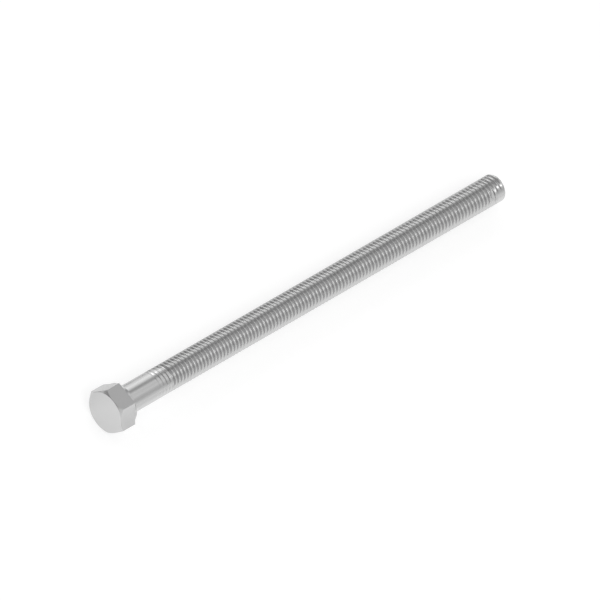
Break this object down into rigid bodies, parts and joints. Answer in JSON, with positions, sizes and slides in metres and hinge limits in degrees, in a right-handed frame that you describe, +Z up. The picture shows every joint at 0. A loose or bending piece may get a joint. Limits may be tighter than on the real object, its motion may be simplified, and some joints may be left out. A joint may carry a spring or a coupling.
{
  "type": "hex cap screw",
  "caption": "Long steel hex cap screw: chamfered hexagonal head with a washer face, a short plain body and a coarse thread that runs to a chamfered point.",
  "frame": {"origin": "centre of the bearing face under the head", "axes": "+X from the head to the point, along the floor; +Z up. The screw lies at rest on the back edge of one flat of its hexagon and on the rim of its point, so its own axis tips down toward the point by 0.83 degrees from +X"},
  "size_m": [0.231, 0.0218, 0.0192],
  "materials": {
    "steel": "satin, plain steel, with no visible plating colour"
  },
  "bodies": {
    "root": {"hex_cap_screw": "steel"}
  },
  "joints": []
}
